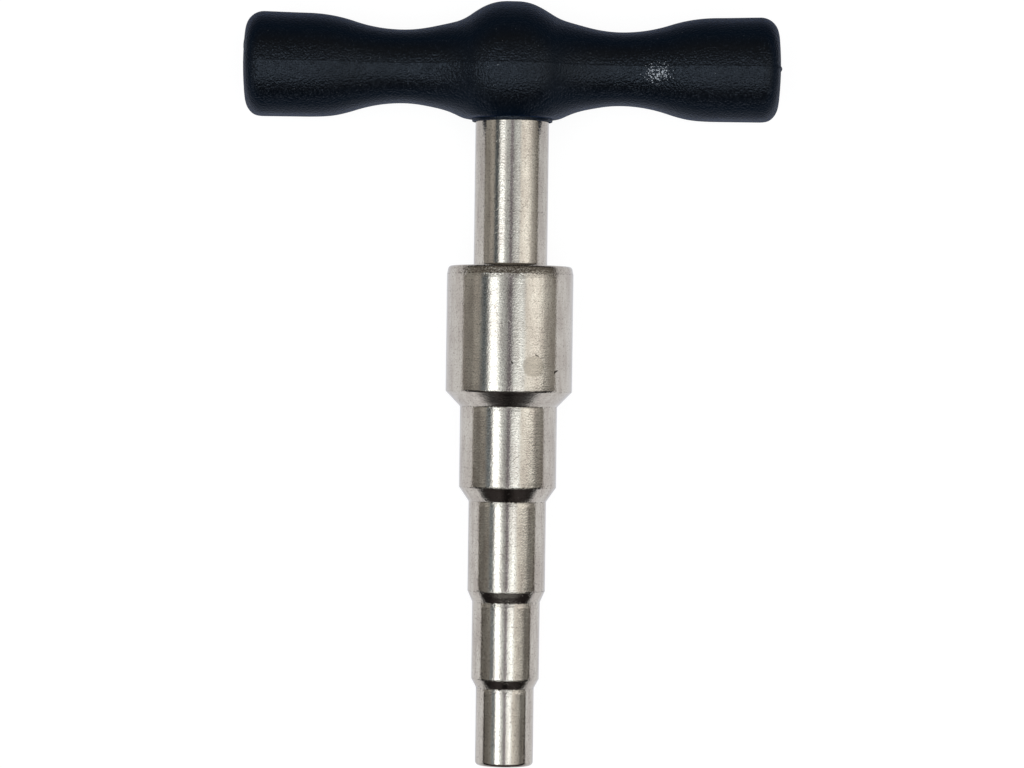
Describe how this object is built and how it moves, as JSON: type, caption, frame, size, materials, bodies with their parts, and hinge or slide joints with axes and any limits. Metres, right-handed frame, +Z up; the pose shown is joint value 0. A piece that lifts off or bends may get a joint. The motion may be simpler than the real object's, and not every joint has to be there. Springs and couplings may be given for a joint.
{
  "type": "pipe calibrator",
  "caption": "Hand pipe calibrator: a stepped, plated steel mandrel with conical leads between its cylindrical steps, set in a moulded T-handle with waisted grips.",
  "frame": {"origin": "on the bench under the middle of the tool, which lies on it on the back of its hub", "axes": "+Y along the mandrel from the tip to the handle; +Z up from the bench; X along the handle's two arms"},
  "size_m": [0.11, 0.1558, 0.027],
  "materials": {
    "nickel_plated_steel": "bright nickel plate over fine turning marks",
    "bright_steel": "bright drawn steel dowel",
    "black_polyamide": "satin grained moulding"
  },
  "bodies": {
    "root": {"mandrel": "nickel_plated_steel", "cross_pin": "bright_steel", "handle": "black_polyamide"}
  },
  "joints": []
}
